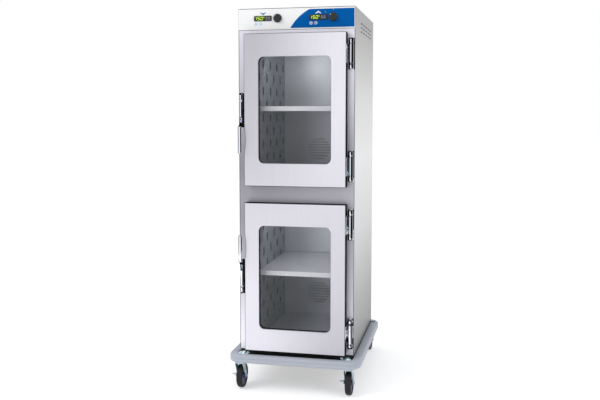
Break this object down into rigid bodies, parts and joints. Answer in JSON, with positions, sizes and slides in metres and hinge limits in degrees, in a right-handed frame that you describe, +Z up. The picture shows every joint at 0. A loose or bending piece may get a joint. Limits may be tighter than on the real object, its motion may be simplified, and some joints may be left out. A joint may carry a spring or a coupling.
{
  "type": "blanket warming cabinet",
  "caption": "Tall wheeled warming cabinet: stacked heated chambers behind hinged window doors, edge latches, control strip on top and a bumper round the base.",
  "frame": {"origin": "on the floor, under the middle of the outline over bumper and casters", "axes": "+Z up; -Y towards the doors and the person who opens them; +X towards the hinges"},
  "size_m": [0.688, 0.9304, 1.9556],
  "materials": {
    "stainless": "brushed",
    "galvanised": "galvanised",
    "chrome": "polished",
    "zinc": "zinc plated",
    "glass": "clear",
    "white_fascia": "satin film",
    "black_plastic": "satin",
    "black_rubber": "matte",
    "bumper_vinyl": "satin vinyl",
    "black_paint": "satin",
    "wheel_rubber": "matte",
    "element_steel": "heat tinted"
  },
  "bodies": {
    "cabinet": {"outer_casing": "stainless", "top_cover": "stainless", "rear_cover": "galvanised", "cord_gland": "black_plastic", "front_frame": "stainless", "control_fascia": "white_fascia", "base_frame": "black_paint", "bumper_rail": "bumper_vinyl", "lower_chamber_liner": "stainless", "lower_left_duct_panel": "stainless", "lower_right_duct_panel": "stainless", "lower_shelf": "stainless", "lower_fan_motor": "galvanised", "lower_heater": "element_steel", "lower_display": "black_plastic", "lower_bottom_hinge_frame_leaf": "chrome", "lower_top_hinge_frame_leaf": "chrome", "upper_chamber_liner": "stainless", "upper_left_duct_panel": "stainless", "upper_right_duct_panel": "stainless", "upper_shelf": "stainless", "upper_fan_motor": "galvanised", "upper_heater": "element_steel", "upper_display": "black_plastic", "upper_bottom_hinge_frame_leaf": "chrome", "upper_top_hinge_frame_leaf": "chrome", "front_left_caster_plate": "zinc", "front_right_caster_plate": "zinc", "rear_left_caster_plate": "zinc", "rear_right_caster_plate": "zinc"},
    "lower_door": {"lower_door_skin": "stainless", "lower_door_inner_pan": "black_plastic", "lower_door_glass": "glass", "lower_door_gasket": "black_rubber", "lower_bottom_hinge_door_leaf": "chrome", "lower_top_hinge_door_leaf": "chrome", "lower_latch_housing": "chrome"},
    "lower_latch": {"lower_latch_lever": "chrome"},
    "lower_switch": {"lower_knob": "black_plastic"},
    "lower_fan": {"lower_fan_wheel": "galvanised"},
    "upper_door": {"upper_door_skin": "stainless", "upper_door_inner_pan": "black_plastic", "upper_door_glass": "glass", "upper_door_gasket": "black_rubber", "upper_bottom_hinge_door_leaf": "chrome", "upper_top_hinge_door_leaf": "chrome", "upper_latch_housing": "chrome"},
    "upper_latch": {"upper_latch_lever": "chrome"},
    "upper_switch": {"upper_knob": "black_plastic"},
    "upper_fan": {"upper_fan_wheel": "galvanised"},
    "front_left_swivel": {"front_left_caster_fork": "zinc"},
    "front_left_wheel": {"front_left_caster_wheel": "wheel_rubber"},
    "front_right_swivel": {"front_right_caster_fork": "zinc"},
    "front_right_wheel": {"front_right_caster_wheel": "wheel_rubber"},
    "rear_left_swivel": {"rear_left_caster_fork": "zinc"},
    "rear_left_wheel": {"rear_left_caster_wheel": "wheel_rubber"},
    "rear_right_swivel": {"rear_right_caster_fork": "zinc"},
    "rear_right_wheel": {"rear_right_caster_wheel": "wheel_rubber"},
    "front_left_brake": {"front_left_caster_brake": "zinc"},
    "front_right_brake": {"front_right_caster_brake": "zinc"}
  },
  "joints": [
    {"name": "lower_door_hinge", "type": "hinge", "parent": "cabinet", "child": "lower_door", "pos_m": [0.284, -0.38925, 0.5891], "axis": [0, 0, 1], "range_deg": [0, 150]},
    {"name": "lower_latch_pivot", "type": "hinge", "parent": "lower_door", "child": "lower_latch", "pos_m": [-0.2718, -0.40675, 0.6331], "axis": [1, 0, 0], "range_deg": [0, 30], "stiffness_Nm_per_rad": 1, "springref_deg": -28.65},
    {"name": "lower_switch_turn", "type": "hinge", "parent": "cabinet", "child": "lower_switch", "pos_m": [-0.095, -0.36985, 1.905], "axis": [0, 1, 0], "range_deg": [0, 54]},
    {"name": "lower_fan_spin", "type": "hinge", "parent": "cabinet", "child": "lower_fan", "pos_m": [0, 0.275, 0.3716], "axis": [0, 1, 0], "continuous": true},
    {"name": "upper_door_hinge", "type": "hinge", "parent": "cabinet", "child": "upper_door", "pos_m": [0.284, -0.38925, 1.4421], "axis": [0, 0, 1], "range_deg": [0, 150]},
    {"name": "upper_latch_pivot", "type": "hinge", "parent": "upper_door", "child": "upper_latch", "pos_m": [-0.2718, -0.40675, 1.3981], "axis": [-1, 0, 0], "range_deg": [0, 30], "stiffness_Nm_per_rad": 1, "springref_deg": -28.65},
    {"name": "upper_switch_turn", "type": "hinge", "parent": "cabinet", "child": "upper_switch", "pos_m": [0.189, -0.36985, 1.905], "axis": [0, 1, 0], "range_deg": [0, 54]},
    {"name": "upper_fan_spin", "type": "hinge", "parent": "cabinet", "child": "upper_fan", "pos_m": [0, 0.275, 1.2246], "axis": [0, 1, 0], "continuous": true},
    {"name": "front_left_caster_swivel", "type": "hinge", "parent": "cabinet", "child": "front_left_swivel", "pos_m": [-0.283, -0.43125, 0.12], "axis": [0, 0, 1], "continuous": true},
    {"name": "front_left_caster_roll", "type": "hinge", "parent": "front_left_swivel", "child": "front_left_wheel", "pos_m": [-0.283, -0.39525, 0.0635], "axis": [1, 0, 0], "continuous": true},
    {"name": "front_left_brake_pedal", "type": "hinge", "parent": "front_left_swivel", "child": "front_left_brake", "pos_m": [-0.283, -0.39525, 0.0635], "axis": [1, 0, 0], "range_deg": [0, 25]},
    {"name": "front_right_caster_swivel", "type": "hinge", "parent": "cabinet", "child": "front_right_swivel", "pos_m": [0.283, -0.43125, 0.12], "axis": [0, 0, 1], "continuous": true},
    {"name": "front_right_caster_roll", "type": "hinge", "parent": "front_right_swivel", "child": "front_right_wheel", "pos_m": [0.283, -0.39525, 0.0635], "axis": [1, 0, 0], "continuous": true},
    {"name": "front_right_brake_pedal", "type": "hinge", "parent": "front_right_swivel", "child": "front_right_brake", "pos_m": [0.283, -0.39525, 0.0635], "axis": [1, 0, 0], "range_deg": [0, 25]},
    {"name": "rear_left_caster_swivel", "type": "hinge", "parent": "cabinet", "child": "rear_left_swivel", "pos_m": [-0.283, 0.36575, 0.12], "axis": [0, 0, 1], "continuous": true},
    {"name": "rear_left_caster_roll", "type": "hinge", "parent": "rear_left_swivel", "child": "rear_left_wheel", "pos_m": [-0.283, 0.40175, 0.0635], "axis": [1, 0, 0], "continuous": true},
    {"name": "rear_right_caster_swivel", "type": "hinge", "parent": "cabinet", "child": "rear_right_swivel", "pos_m": [0.283, 0.36575, 0.12], "axis": [0, 0, 1], "continuous": true},
    {"name": "rear_right_caster_roll", "type": "hinge", "parent": "rear_right_swivel", "child": "rear_right_wheel", "pos_m": [0.283, 0.40175, 0.0635], "axis": [1, 0, 0], "continuous": true}
  ]
}
